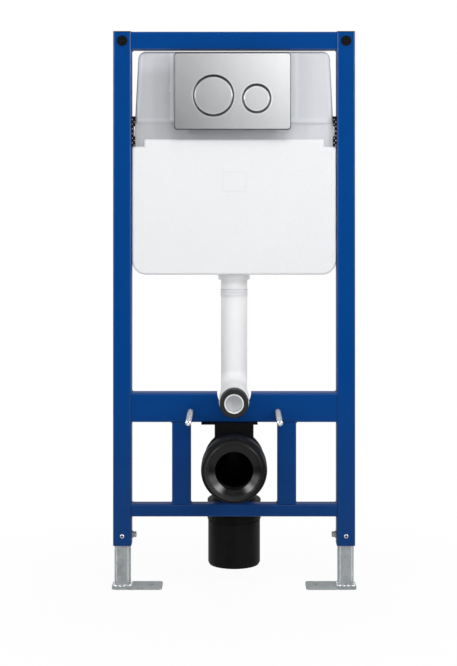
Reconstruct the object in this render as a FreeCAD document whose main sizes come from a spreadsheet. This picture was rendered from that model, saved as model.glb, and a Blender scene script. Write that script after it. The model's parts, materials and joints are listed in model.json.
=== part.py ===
"""Wall hung toilet frame: a steel pre-wall frame with cistern, flush plate, flush line and waste line.

X runs to the viewer's right, Y to the back and Z up. The origin is on the floor, on the centreline,
in the plane of the frame's front faces. All lengths are millimetres.
"""

import FreeCAD
import Part
import math
import os
import types

import Sketcher
from FreeCAD import Placement, Rotation, Vector

SIZES = {
    # steel frame
    "frame_width": 500.0,
    "frame_height": 1150.0,
    "tube_side": 38.0,
    "tube_wall": 2.5,
    "tube_corner": 4.0,
    "upright_bottom": 88.0,
    "cap_thickness": 2.0,
    "cap_plug_depth": 14.0,
    "plug_gap": 0.3,
    "bush_drop": 20.0,
    "bush_radius": 9.0,
    "bush_lip_radius": 10.75,
    "bush_lip_thickness": 1.2,
    "wall_bolt_radius": 5.5,
    "top_rail_drop": 1.0,
    "top_rail_height": 37.0,
    "mid_rail_top": 403.0,
    "mid_rail_height": 60.0,
    "notch_width": 70.5,
    "notch_overrun": 5.0,
    "lower_rail_bottom": 148.0,
    "lower_rail_height": 26.0,
    "lower_rail_depth": 30.0,
    "strut_width": 39.0,
    "strut_spacing": 217.5,
    # pan studs
    "stud_spacing": 180.0,
    "stud_height": 365.0,
    "stud_radius": 6.0,
    "stud_reach": 148.5,
    "stud_tail": 12.0,
    "stud_gap": 0.2,
    "stud_relief": 1.0,
    # telescopic feet
    "leg_side": 32.0,
    "leg_wall": 2.0,
    "leg_corner": 3.0,
    "leg_length": 300.0,
    "foot_length": 103.5,
    "foot_depth": 50.0,
    "foot_thickness": 5.0,
    "foot_overhang": 2.0,
    "foot_lead": 9.5,
    "foot_corner": 7.0,
    "anchor_inset": 21.5,
    "anchor_radius": 5.5,
    # cistern
    "tank_front": 12.0,
    "tank_depth": 108.0,
    "tank_drop": 41.0,
    "tank_inset": 3.2,
    "tank_taper": 10.0,
    "tank_wall": 3.0,
    "tank_top_corner": 16.0,
    "tank_edge": 6.0,
    "top_shell_height": 147.5,
    "tank_lip_height": 3.0,
    "tank_lip_proud": 1.2,
    "inlet_offset": 120.0,
    "inlet_drop": 49.0,
    "inlet_boss_radius": 17.0,
    "inlet_boss_reach": 15.0,
    "inlet_bore_radius": 10.5,
    # insulation jacket
    "jacket_front": 4.0,
    "jacket_depth": 124.0,
    "jacket_gap": 0.8,
    "jacket_side": 13.0,
    "jacket_height": 265.0,
    "jacket_rise": 15.0,
    "jacket_step": 24.8,
    "jacket_step_corner": 4.0,
    "shoulder_drop": 49.5,
    "jacket_corner": 30.0,
    "jacket_edge": 5.0,
    "jacket_floor": 9.0,
    "seat_gap": 0.3,
    # service neck and cover
    "neck_width": 253.0,
    "neck_height": 137.0,
    "neck_drop": 78.5,
    "neck_reach": 14.0,
    "neck_wall": 3.0,
    "neck_corner": 8.0,
    "neck_lip": 8.0,
    "neck_tab_width": 3.0,
    "neck_tab_height": 14.0,
    "neck_tab_depth": 10.0,
    "cover_setback": 8.0,
    "cover_thickness": 4.0,
    "guide_radius": 9.5,
    "guide_length": 26.0,
    "guide_gap": 0.4,
    # flush plate and buttons
    "plate_shift": 3.2,
    "plate_width": 239.5,
    "plate_height": 158.0,
    "plate_drop": 6.0,
    "plate_thickness": 12.0,
    "plate_skin": 2.5,
    "plate_corner": 7.0,
    "plate_edge": 1.5,
    "full_offset": 39.0,
    "full_drop": 9.0,
    "full_hole_radius": 42.0,
    "full_button_radius": 39.0,
    "half_offset": 49.5,
    "half_drop": 15.0,
    "half_hole_radius": 29.5,
    "half_button_radius": 26.5,
    "button_proud": 1.0,
    "button_thickness": 8.0,
    "button_edge": 1.5,
    "button_skin": 2.5,
    "stem_radius": 6.0,
    "stem_length": 49.0,
    # tank clips
    "clip_width": 7.7,
    "clip_height": 62.0,
    "clip_depth": 10.0,
    "clip_notch": 3.0,
    # flush line
    "flush_setback": 60.0,
    "flush_height": 400.0,
    "flush_pipe_radius": 27.5,
    "flush_pipe_wall": 3.0,
    "flush_bend_radius": 45.0,
    "collar_radius": 33.0,
    "collar_height": 12.7,
    "collar_spigot_radius": 30.0,
    "tailpiece_length": 20.0,
    "joint_ring_radius": 28.2,
    "joint_ring_height": 15.5,
    "elbow_reach": 22.0,
    "socket_radius": 30.0,
    "socket_length": 78.0,
    "socket_chamfer": 4.0,
    "seal_radius": 28.5,
    "seal_length": 30.0,
    "seal_groove": 1.6,
    "seal_edge": 2.0,
    "flush_bore_radius": 17.0,
    "insert_wall": 2.2,
    "insert_tail": 48.0,
    # waste line
    "waste_height": 265.0,
    "waste_setback": 92.0,
    "bend_tube_radius": 45.0,
    "bend_tube_wall": 3.0,
    "bend_radius": 85.0,
    "bend_bottom": 150.0,
    "mouth_reach": 120.0,
    "mouth_radius": 66.0,
    "mouth_rim_radius": 63.0,
    "mouth_depth": 58.0,
    "mouth_round": 12.0,
    "mouth_rim_wall": 2.5,
    "funnel_depth": 5.0,
    "waste_bore_radius": 38.0,
    "lip_wall": 3.0,
    "lip_edge": 1.4,
    "lip_length": 10.0,
    "adapter_top": 169.0,
    "adapter_bottom": 126.0,
    "adapter_radius": 56.5,
    "adapter_chamfer": 2.5,
    "adapter_spigot_radius": 51.0,
    "adapter_spigot_length": 30.0,
    "drain_radius": 55.0,
    "drain_wall": 3.4,
    "drain_bottom": 30.0,
    "drain_chamfer": 5.0,
    "drain_groove": 2.0,
    "bracket_ring_radius": 62.0,
    "bracket_front": 12.0,
    "bracket_thickness": 16.0,
    "bracket_stem_width": 80.0,
    "bracket_flange_width": 116.0,
    "bracket_flange_shift": 9.5,
    "bracket_flange_height": 3.0,
    "bracket_flange_depth": 42.0,
}


class Dim:
    """A length that carries its present value and the sheet formula that drives it."""

    def __init__(self, value, text):
        self.value = value
        self.text = text

    def __add__(self, other):
        other = as_dim(other)
        return Dim(self.value + other.value, f"({self.text} + {other.text})")

    def __radd__(self, other):
        return as_dim(other) + self

    def __sub__(self, other):
        other = as_dim(other)
        return Dim(self.value - other.value, f"({self.text} - {other.text})")

    def __rsub__(self, other):
        return as_dim(other) - self

    def __mul__(self, other):
        other = as_dim(other)
        return Dim(self.value * other.value, f"({self.text} * {other.text})")

    def __rmul__(self, other):
        return as_dim(other) * self

    def __truediv__(self, other):
        other = as_dim(other)
        return Dim(self.value / other.value, f"({self.text} / {other.text})")

    def __neg__(self):
        return Dim(-self.value, f"(0 - {self.text})")


def as_dim(value):
    """Wrap a plain number, so that sheet lengths and numbers mix freely."""
    return value if isinstance(value, Dim) else Dim(float(value), repr(float(value)))


def write_sheet(doc):
    """Write every driving size to the spreadsheet under its alias and return them as lengths."""
    sheet = doc.addObject("Spreadsheet::Sheet", "sizes")
    for row, (alias, value) in enumerate(SIZES.items(), start=1):
        sheet.set(f"A{row}", alias)
        sheet.set(f"B{row}", str(value))
        sheet.setAlias(f"B{row}", alias)
    doc.recompute()
    return types.SimpleNamespace(**{alias: Dim(value, f"sizes.{alias}") for alias, value in SIZES.items()})


def add_following_sizes(s):
    """Work out what follows: the cistern fills the frame's inner width and hangs from its top."""
    s.inner_width = s.frame_width - 2 * s.tube_side
    s.jacket_width = s.inner_width - 2 * s.jacket_gap
    s.jacket_top_width = s.jacket_width - 2 * s.jacket_step
    s.tank_shoulder_width = s.jacket_width - 2 * s.tank_inset
    s.tank_top_width = s.tank_shoulder_width - 2 * s.tank_taper
    s.tank_lower_width = s.jacket_width - 2 * s.jacket_side
    s.tank_top = s.frame_height - s.tank_drop
    s.tank_seam = s.tank_top - s.top_shell_height
    s.jacket_shoulder = s.tank_seam - s.shoulder_drop
    s.jacket_top = s.jacket_shoulder + s.jacket_rise
    s.jacket_bottom = s.jacket_shoulder - s.jacket_height
    s.tank_shoulder = s.jacket_shoulder + s.seat_gap
    s.tank_bottom = s.jacket_bottom + s.jacket_floor + s.seat_gap
    s.neck_centre = s.tank_top - s.neck_drop
    s.plate_centre = s.neck_centre - s.plate_drop
    s.inlet_height = s.tank_top - s.inlet_drop


doc = FreeCAD.newDocument("wall_hung_toilet_frame")
s = write_sheet(doc)
add_following_sizes(s)
nodes = []


def new_body(name):
    """Start a body whose label is the name of its node."""
    body = doc.addObject("PartDesign::Body", name)
    body.Label = name
    nodes.append(body)
    return body


def drive(obj, path, length):
    """Bind a property of an object to the sheet formula of a length."""
    obj.setExpression(path, as_dim(length).text)


def place(body, x=0, y=0, z=0):
    """Put a body in the shared frame."""
    x, y, z = as_dim(x), as_dim(y), as_dim(z)
    body.Placement = Placement(Vector(x.value, y.value, z.value), Rotation())
    drive(body, "Placement.Base.x", x)
    drive(body, "Placement.Base.y", y)
    drive(body, "Placement.Base.z", z)


def sketch_on(body, plane, name, offset=None):
    """Open a sketch on one of the body's own planes, moved along the plane's normal by offset."""
    sketch = body.newObject("Sketcher::SketchObject", f"{body.Name}_{name}")
    support = next(feature for feature in body.Origin.OriginFeatures if feature.Role == plane)
    sketch.AttachmentSupport = [(support, "")]
    sketch.MapMode = "FlatFace"
    if offset is not None:
        sketch.AttachmentOffset = Placement(Vector(0, 0, as_dim(offset).value), Rotation())
        drive(sketch, "AttachmentOffset.Base.z", offset)
    return sketch


def hold(sketch, length, kind, *refs):
    """Add a dimension to a sketch and bind it to its sheet formula."""
    length = as_dim(length)
    index = sketch.addConstraint(Sketcher.Constraint(kind, *refs, length.value))
    drive(sketch, f"Constraints[{index}]", length)


def pin(sketch, geometry, point, x, y):
    """Hold a sketch point at x and y from the sketch's origin."""
    for length, kind, axis in ((x, "DistanceX", -2), (y, "DistanceY", -1)):
        if as_dim(length).text in ("0.0", "-0.0"):
            sketch.addConstraint(Sketcher.Constraint("PointOnObject", geometry, point, axis))
        else:
            hold(sketch, length, kind, -1, 1, geometry, point)


def circle(sketch, x, y, radius):
    """Draw a circle with a driven centre and radius."""
    x, y, radius = as_dim(x), as_dim(y), as_dim(radius)
    shape = Part.Circle(Vector(x.value, y.value, 0), Vector(0, 0, 1), radius.value)
    index = sketch.addGeometry(shape, False)
    pin(sketch, index, 3, x, y)
    hold(sketch, radius, "Radius", index)


def outline(sketch, corners, closed=True):
    """Draw a profile through corners given as (x, y) or, where the corner is rounded, (x, y, radius)."""
    corners = [tuple(as_dim(value) for value in corner) for corner in corners]
    points = [Vector(corner[0].value, corner[1].value, 0) for corner in corners]
    count = len(corners)
    arcs = {}
    starts, ends = list(points), list(points)
    for i, corner in enumerate(corners):
        if len(corner) == 2:
            continue
        radius = corner[2].value
        to_last = (points[i - 1] - points[i]).normalize()
        to_next = (points[(i + 1) % count] - points[i]).normalize()
        half = to_last.getAngle(to_next) / 2
        ends[i] = points[i] + to_last * (radius / math.tan(half))
        starts[i] = points[i] + to_next * (radius / math.tan(half))
        centre = points[i] + (to_last + to_next).normalize() * (radius / math.sin(half))
        turns_left = to_last.cross(to_next).z < 0
        first, last = (ends[i], starts[i]) if turns_left else (starts[i], ends[i])
        angles = [math.atan2(point.y - centre.y, point.x - centre.x) for point in (first, last)]
        arcs[i] = (Part.ArcOfCircle(Part.Circle(centre, Vector(0, 0, 1), radius), *angles), turns_left)
    last_line = count if closed else count - 1
    lines = []
    for i in range(last_line):
        segment = Part.LineSegment(starts[i], ends[(i + 1) % count])
        lines.append(sketch.addGeometry(segment, False))
    for i, corner in enumerate(corners):
        line_out = lines[i] if i < last_line else None
        line_in = lines[i - 1] if closed or i > 0 else None
        if i in arcs:
            shape, turns_left = arcs[i]
            arc = sketch.addGeometry(shape, False)
            mark = sketch.addGeometry(Part.Point(points[i]), True)
            begin, finish = (1, 2) if turns_left else (2, 1)
            sketch.addConstraint(Sketcher.Constraint("Tangent", line_in, 2, arc, begin))
            sketch.addConstraint(Sketcher.Constraint("Tangent", arc, finish, line_out, 1))
            sketch.addConstraint(Sketcher.Constraint("PointOnObject", mark, 1, line_in))
            sketch.addConstraint(Sketcher.Constraint("PointOnObject", mark, 1, line_out))
            pin(sketch, mark, 1, corner[0], corner[1])
            hold(sketch, corner[2], "Radius", arc)
        elif line_in is None:
            pin(sketch, line_out, 1, corner[0], corner[1])
        else:
            if line_out is not None:
                sketch.addConstraint(Sketcher.Constraint("Coincident", line_in, 2, line_out, 1))
            pin(sketch, line_in, 2, corner[0], corner[1])


def box_outline(sketch, x0, x1, y0, y1, radius=None):
    """Draw a rectangle between two x and two y lengths, with rounded corners where a radius is given."""
    corners = [(x0, y0), (x1, y0), (x1, y1), (x0, y1)]
    outline(sketch, corners if radius is None else [(*corner, radius) for corner in corners])


def pad(body, sketch, length, reverse=False, middle=False):
    """Raise a sketch by a length, to one side or evenly to both."""
    feature = body.newObject("PartDesign::Pad", f"{sketch.Name}_pad")
    feature.Profile = sketch
    feature.Reversed = reverse
    feature.Midplane = middle
    feature.Length = as_dim(length).value
    drive(feature, "Length", length)
    return feature


def pocket(body, sketch, length=None, reverse=False, middle=False):
    """Cut a sketch to a depth, or right through where no depth is given."""
    feature = body.newObject("PartDesign::Pocket", f"{sketch.Name}_cut")
    feature.Profile = sketch
    feature.Reversed = reverse
    feature.Midplane = middle
    if length is None:
        feature.Type = "ThroughAll"
    else:
        feature.Length = as_dim(length).value
        drive(feature, "Length", length)
    return feature


def revolve(body, plane, corners):
    """Turn a profile given as (radius, height) corners about the vertical axis of its sketch."""
    sketch = sketch_on(body, plane, "profile")
    outline(sketch, corners)
    feature = body.newObject("PartDesign::Revolution", f"{body.Name}_turn")
    feature.Profile = sketch
    feature.ReferenceAxis = (sketch, ["V_Axis"])
    feature.Angle = 360.0
    return feature


def edges_where(feature, wanted):
    """Name the edges of a feature whose bounding box passes a test."""
    doc.recompute()
    return [f"Edge{i}" for i, edge in enumerate(feature.Shape.Edges, start=1) if wanted(edge.BoundBox)]


def soften(body, feature, kind, length, wanted):
    """Fillet or chamfer the edges of a feature that pass a test."""
    names = edges_where(feature, wanted)
    if not names:
        raise RuntimeError(f"{body.Label}: no edge to soften")
    dress = body.newObject(f"PartDesign::{kind}", f"{body.Name}_{kind.lower()}")
    dress.Base = (feature, names)
    path = "Radius" if kind == "Fillet" else "Size"
    setattr(dress, path, as_dim(length).value)
    drive(dress, path, length)
    return dress


def flat_at(axis, value):
    """Test for an edge that lies wholly in the plane where the named coordinate has the value."""
    low, high = f"{axis}Min", f"{axis}Max"
    return lambda box: abs(getattr(box, low) - value) < 0.01 and abs(getattr(box, high) - value) < 0.01


def square_tube(body, plane, x0, x1, y0, y1, wall, corner, length, middle=False):
    """Pad a rounded hollow section."""
    sketch = sketch_on(body, plane, "section")
    box_outline(sketch, x0, x1, y0, y1, corner)
    box_outline(sketch, x0 + wall, x1 - wall, y0 + wall, y1 - wall, corner - wall)
    return pad(body, sketch, length, middle=middle)


def make_uprights():
    """The two uprights with their end caps and the bushes for the wall fixings."""
    half = s.tube_side / 2
    top = s.frame_height - s.cap_thickness
    bush_height = s.frame_height - s.bush_drop
    for side, sign in (("left", -1), ("right", 1)):
        x = sign * (s.frame_width / 2 - half)
        upright = new_body(f"{side}_upright")
        square_tube(upright, "XY_Plane", -half, half, as_dim(0), s.tube_side, s.tube_wall, s.tube_corner,
                    top - s.upright_bottom)
        bore = sketch_on(upright, "XZ_Plane", "bush_bore")
        circle(bore, 0, bush_height - s.upright_bottom, s.bush_radius + 0.2)
        pocket(upright, bore, middle=True)
        place(upright, x, 0, s.upright_bottom)

        cap = new_body(f"{side}_end_cap")
        lid = sketch_on(cap, "XY_Plane", "lid")
        box_outline(lid, -half, half, as_dim(0), s.tube_side, s.tube_corner)
        lid_pad = pad(cap, lid, s.cap_thickness)
        plug = sketch_on(cap, "XY_Plane", "plug")
        rim = s.tube_wall + s.plug_gap
        box_outline(plug, -half + rim, half - rim, rim, s.tube_side - rim, s.tube_corner - s.tube_wall)
        pad(cap, plug, s.cap_plug_depth, reverse=True)
        bolt_way = sketch_on(cap, "XZ_Plane", "bolt_way")
        circle(bolt_way, 0, bush_height - top, s.bush_radius + 0.2)
        cut = pocket(cap, bolt_way, middle=True)
        soften(cap, cut, "Fillet", s.cap_thickness * 0.6, flat_at("Z", lid_pad.Length.Value))
        place(cap, x, 0, top)

        bush = new_body(f"{side}_wall_bush")
        revolve(bush, "XY_Plane", [
            (s.wall_bolt_radius, -s.bush_lip_thickness),
            (s.bush_lip_radius, -s.bush_lip_thickness),
            (s.bush_lip_radius, 0),
            (s.bush_radius, 0),
            (s.bush_radius, s.tube_side),
            (s.wall_bolt_radius, s.tube_side),
        ])
        place(bush, x, 0, bush_height)


def make_rails():
    """The three cross rails and the two short struts between the lower ones."""
    top_rail = new_body("top_rail")
    square_tube(top_rail, "YZ_Plane", as_dim(0), s.tube_side, as_dim(0), s.top_rail_height, s.tube_wall,
                s.tube_corner, s.inner_width, middle=True)
    place(top_rail, 0, 0, s.frame_height - s.top_rail_drop - s.top_rail_height)

    mid_rail = new_body("mid_rail")
    mid_bottom = s.mid_rail_top - s.mid_rail_height
    square_tube(mid_rail, "YZ_Plane", as_dim(0), s.tube_side, as_dim(0), s.mid_rail_height, s.tube_wall,
                s.tube_corner, s.inner_width, middle=True)
    notch = sketch_on(mid_rail, "XZ_Plane", "notch")
    half = s.notch_width / 2
    axis = s.flush_height - mid_bottom
    outline(notch, [
        (-half, s.mid_rail_height + s.notch_overrun),
        (-half, axis - half, half * 0.98),
        (half, axis - half, half * 0.98),
        (half, s.mid_rail_height + s.notch_overrun),
    ])
    pocket(mid_rail, notch, middle=True)
    stud_ways = sketch_on(mid_rail, "XZ_Plane", "stud_ways")
    for sign in (-1, 1):
        circle(stud_ways, sign * s.stud_spacing / 2, s.stud_height - mid_bottom, s.stud_radius)
    pocket(mid_rail, stud_ways, middle=True)
    place(mid_rail, 0, 0, mid_bottom)

    lower_rail = new_body("lower_rail")
    square_tube(lower_rail, "YZ_Plane", as_dim(0), s.lower_rail_depth, as_dim(0), s.lower_rail_height,
                s.tube_wall, s.tube_corner, s.inner_width, middle=True)
    place(lower_rail, 0, 0, s.lower_rail_bottom)

    strut_bottom = s.lower_rail_bottom + s.lower_rail_height
    for side, sign in (("left", -1), ("right", 1)):
        strut = new_body(f"{side}_strut")
        square_tube(strut, "XY_Plane", -s.strut_width / 2, s.strut_width / 2, as_dim(0), s.lower_rail_depth,
                    s.tube_wall, s.tube_corner, mid_bottom - strut_bottom)
        place(strut, sign * s.strut_spacing / 2, 0, strut_bottom)


def make_pan_studs():
    """The two rods that carry the pan, relieved a little where they pass through the middle rail."""
    for side, sign in (("left", -1), ("right", 1)):
        stud = new_body(f"{side}_pan_stud")
        chamfer = s.stud_radius * 0.2
        back = s.tube_side + s.stud_tail
        revolve(stud, "XY_Plane", [
            (0, -s.stud_reach),
            (s.stud_radius - chamfer, -s.stud_reach),
            (s.stud_radius, chamfer - s.stud_reach),
            (s.stud_radius, -s.stud_relief),
            (s.stud_radius - s.stud_gap, -s.stud_relief),
            (s.stud_radius - s.stud_gap, back),
            (0, back),
        ])
        place(stud, sign * s.stud_spacing / 2, 0, s.stud_height)


def make_feet():
    """The telescopic legs in the uprights and the foot plates welded to them."""
    half = s.leg_side / 2
    for side, sign in (("left", -1), ("right", 1)):
        x = sign * (s.frame_width / 2 - s.tube_side / 2)
        leg = new_body(f"{side}_leg")
        square_tube(leg, "XY_Plane", -half, half, -half, half, s.leg_wall, s.leg_corner, s.leg_length)
        place(leg, x, s.tube_side / 2, s.foot_thickness)

        plate = new_body(f"{side}_foot_plate")
        outer = sign * (s.frame_width / 2 + s.foot_overhang)
        inner = sign * (s.frame_width / 2 + s.foot_overhang - s.foot_length)
        shape = sketch_on(plate, "XY_Plane", "shape")
        box_outline(shape, inner, outer, -s.foot_lead, s.foot_depth - s.foot_lead, s.foot_corner)
        circle(shape, inner + sign * s.anchor_inset, s.foot_depth / 2 - s.foot_lead, s.anchor_radius)
        pad(plate, shape, s.foot_thickness)
        place(plate)


def tank_width(height, inset):
    """Half the width of the tapered upper part of the cistern at a height, less an inset."""
    taper = (s.tank_shoulder_width - s.tank_top_width) / 2 / (s.tank_top - s.tank_shoulder)
    return s.tank_shoulder_width / 2 - taper * (height - s.tank_shoulder) - inset


def make_tank_top():
    """The upper shell of the cistern, open below, with the service opening and the water inlet."""
    shell = new_body("cistern_top_shell")

    def section(name, offset, inset):
        sketch = sketch_on(shell, "XZ_Plane", name, offset)
        top = s.tank_top - inset
        corner = s.tank_top_corner - inset
        outline(sketch, [
            (-tank_width(s.tank_seam, inset), s.tank_seam),
            (tank_width(s.tank_seam, inset), s.tank_seam),
            (tank_width(s.tank_top, inset), top, corner),
            (-tank_width(s.tank_top, inset), top, corner),
        ])
        return sketch

    block = pad(shell, section("outside", -s.tank_front, as_dim(0)), s.tank_depth, reverse=True)
    soften_front(shell, block)
    inside = section("inside", -s.tank_front - s.tank_wall, s.tank_wall)
    pocket(shell, inside, s.tank_depth - 2 * s.tank_wall)

    opening = sketch_on(shell, "XZ_Plane", "opening", -s.tank_front)
    side = s.neck_width / 2 - s.neck_wall - s.neck_lip
    rise = s.neck_height / 2 - s.neck_wall - s.neck_lip
    left, right = -side - s.plate_shift, side - s.plate_shift
    box_outline(opening, left, right, s.neck_centre - rise, s.neck_centre + rise)
    pocket(shell, opening, s.tank_wall)

    back = s.tank_front + s.tank_depth
    boss = sketch_on(shell, "XZ_Plane", "inlet_boss", -back)
    circle(boss, -s.inlet_offset, s.inlet_height, s.inlet_boss_radius)
    pad(shell, boss, s.inlet_boss_reach, reverse=True)
    inlet = sketch_on(shell, "XZ_Plane", "inlet_bore", -back - s.inlet_boss_reach)
    circle(inlet, -s.inlet_offset, s.inlet_height, s.inlet_bore_radius)
    pocket(shell, inlet, s.inlet_boss_reach + s.tank_wall, reverse=True)
    place(shell)


def make_tank_base():
    """The lower shell of the cistern, open above, with a lip at the seam and the outlet."""
    shell = new_body("cistern_base_shell")

    def section(name, offset, inset):
        sketch = sketch_on(shell, "XZ_Plane", name, offset)
        lower = s.tank_lower_width / 2 - inset
        shoulder = s.tank_shoulder_width / 2 - inset
        outline(sketch, [
            (-lower, s.tank_bottom + inset),
            (lower, s.tank_bottom + inset),
            (lower, s.tank_shoulder + inset),
            (shoulder, s.tank_shoulder + inset),
            (tank_width(s.tank_seam, inset), s.tank_seam),
            (-tank_width(s.tank_seam, inset), s.tank_seam),
            (-shoulder, s.tank_shoulder + inset),
            (-lower, s.tank_shoulder + inset),
        ])
        return sketch

    pad(shell, section("outside", -s.tank_front, as_dim(0)), s.tank_depth, reverse=True)
    lip = sketch_on(shell, "XZ_Plane", "lip", s.tank_lip_proud - s.tank_front)
    reach = tank_width(s.tank_seam, s.tank_edge)
    box_outline(lip, -reach, reach, s.tank_seam - s.tank_lip_height, s.tank_seam)
    pad(shell, lip, s.tank_lip_proud + s.tank_wall, reverse=True)
    inside = section("inside", -s.tank_front - s.tank_wall, s.tank_wall)
    pocket(shell, inside, s.tank_depth - 2 * s.tank_wall)

    outlet = sketch_on(shell, "XY_Plane", "outlet", s.tank_bottom)
    circle(outlet, 0, s.flush_setback, s.flush_pipe_radius - s.flush_pipe_wall)
    pocket(shell, outlet, s.tank_wall, reverse=True)
    place(shell)


def soften_front(shell, block):
    """Round the front edges of the upper shell, but not the one in the seam."""
    in_front = flat_at("Y", s.tank_front.value)
    above_seam = s.tank_seam.value + s.tank_wall.value
    soften(shell, block, "Fillet", s.tank_edge, lambda box: in_front(box) and box.ZMax > above_seam)


def make_jacket():
    """The insulation jacket round the lower part of the cistern, open at its top."""
    jacket = new_body("insulation_jacket")
    half = s.jacket_width / 2
    rise = s.jacket_top_width / 2
    shape = sketch_on(jacket, "XZ_Plane", "shape", -s.jacket_front)
    outline(shape, [
        (-half, s.jacket_bottom, s.jacket_corner),
        (half, s.jacket_bottom, s.jacket_corner),
        (half, s.jacket_shoulder),
        (rise, s.jacket_shoulder),
        (rise, s.jacket_top, s.jacket_step_corner),
        (-rise, s.jacket_top, s.jacket_step_corner),
        (-rise, s.jacket_shoulder),
        (-half, s.jacket_shoulder),
    ])
    block = pad(jacket, shape, s.jacket_depth, reverse=True)
    front = s.jacket_front.value
    soften(jacket, block, "Fillet", s.jacket_edge, flat_at("Y", front))

    well = sketch_on(jacket, "XY_Plane", "well", s.jacket_bottom + s.jacket_floor)
    reach = s.tank_lower_width / 2 + s.seat_gap
    box_outline(well, -reach, reach, s.tank_front - s.seat_gap, s.tank_front + s.tank_depth + s.seat_gap)
    pocket(jacket, well, s.jacket_top - s.jacket_bottom, reverse=True)

    outlet = sketch_on(jacket, "XY_Plane", "outlet", s.jacket_bottom)
    circle(outlet, 0, s.flush_setback, s.collar_spigot_radius + s.seat_gap)
    pocket(jacket, outlet, s.jacket_floor, reverse=True)
    place(jacket)


def make_service_opening():
    """The neck on the front of the cistern and the cover that guides the button stems."""
    neck = new_body("service_neck")
    wide = s.neck_width / 2
    tall = s.neck_height / 2
    depth = s.tank_front + s.neck_reach
    shape = sketch_on(neck, "XZ_Plane", "shape", s.neck_reach)
    box_outline(shape, -wide, wide, -tall, tall, s.neck_corner)
    pad(neck, shape, depth, reverse=True)
    hollow = sketch_on(neck, "XZ_Plane", "hollow", -s.tank_front)
    box_outline(hollow, s.neck_wall - wide, wide - s.neck_wall, s.neck_wall - tall, tall - s.neck_wall,
                s.neck_corner - s.neck_wall)
    pocket(neck, hollow, depth - s.plate_skin, reverse=True)
    tabs = sketch_on(neck, "XZ_Plane", "tabs", s.neck_reach)
    for sign in (-1, 1):
        inner, outer = sign * (wide - s.neck_wall), sign * (wide + s.neck_tab_width)
        box_outline(tabs, inner, outer, -s.neck_tab_height / 2, s.neck_tab_height / 2)
    pad(neck, tabs, s.neck_tab_depth, reverse=True)
    window = sketch_on(neck, "XZ_Plane", "window", s.neck_reach)
    inset = s.neck_wall + s.neck_lip
    box_outline(window, inset - wide, wide - inset, inset - tall, tall - inset)
    pocket(neck, window, s.plate_skin)
    place(neck, -s.plate_shift, 0, s.neck_centre)

    cover = new_body("service_cover")
    front = s.cover_setback - s.neck_reach
    shape = sketch_on(cover, "XZ_Plane", "shape", -front)
    rim = s.neck_wall + s.seat_gap
    box_outline(shape, rim - wide, wide - rim, rim - tall, tall - rim, s.neck_corner - s.neck_wall)
    pad(cover, shape, s.cover_thickness, reverse=True)
    guides = sketch_on(cover, "XZ_Plane", "guides", -front - s.cover_thickness)
    bores = sketch_on(cover, "XZ_Plane", "bores", -front)
    for x, z in button_centres():
        circle(guides, x, z - s.neck_centre, s.guide_radius)
        circle(bores, x, z - s.neck_centre, s.stem_radius + s.guide_gap)
    pad(cover, guides, s.guide_length, reverse=True)
    pocket(cover, bores)
    place(cover, -s.plate_shift, 0, s.neck_centre)


def button_centres():
    """The centres of the full and the half flush button, across from the middle of the plate."""
    return (
        (-s.full_offset, s.plate_centre - s.full_drop),
        (s.half_offset, s.plate_centre - s.half_drop),
    )


def make_flush_plate():
    """The flush plate with its two round push buttons."""
    plate = new_body("flush_plate")
    front = s.neck_reach + s.plate_thickness
    wide = s.plate_width / 2
    tall = s.plate_height / 2
    shape = sketch_on(plate, "XZ_Plane", "shape", front)
    box_outline(shape, -wide, wide, -tall, tall, s.plate_corner)
    radii = (s.full_hole_radius, s.half_hole_radius)
    for (x, z), radius in zip(button_centres(), radii):
        circle(shape, x, z - s.plate_centre, radius)
    slab = pad(plate, shape, s.plate_thickness, reverse=True)
    soften(plate, slab, "Chamfer", s.plate_edge, flat_at("Y", -front.value))
    hollow = sketch_on(plate, "XZ_Plane", "hollow", s.neck_reach)
    box_outline(hollow, s.plate_skin - wide, wide - s.plate_skin, s.plate_skin - tall, tall - s.plate_skin,
                s.plate_corner - s.plate_skin)
    pocket(plate, hollow, s.plate_thickness - s.plate_skin, reverse=True)
    place(plate, -s.plate_shift, 0, s.plate_centre)

    button_radii = (s.full_button_radius, s.half_button_radius)
    names = ("full_flush_button", "half_flush_button")
    for name, (x, z), radius in zip(names, button_centres(), button_radii):
        button = new_body(name)
        face = -front - s.button_proud
        revolve(button, "XY_Plane", [
            (0, face),
            (radius - s.button_edge, face),
            (radius, face + s.button_edge),
            (radius, face + s.button_thickness),
            (radius - s.button_skin, face + s.button_thickness),
            (radius - s.button_skin, face + s.button_skin),
            (s.stem_radius, face + s.button_skin),
            (s.stem_radius, face + s.button_thickness + s.stem_length),
            (0, face + s.button_thickness + s.stem_length),
        ])
        place(button, x - s.plate_shift, 0, z)


def make_tank_clips():
    """The notched clips that hold the cistern between the uprights."""
    for side, sign in (("left", -1), ("right", 1)):
        clip = new_body(f"{side}_tank_clip")
        shape = sketch_on(clip, "XZ_Plane", "shape", -s.tank_front)
        third = s.clip_height / 3
        outline(shape, [
            (0, 0),
            (-sign * s.clip_width, 0),
            (-sign * s.clip_width, third),
            (-sign * (s.clip_width - s.clip_notch), third),
            (-sign * (s.clip_width - s.clip_notch), 2 * third),
            (-sign * s.clip_width, 2 * third),
            (-sign * s.clip_width, s.clip_height),
            (0, s.clip_height),
        ])
        pad(clip, shape, s.clip_depth)
        place(clip, sign * s.inner_width / 2, 0, s.jacket_shoulder + s.seat_gap)


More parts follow.
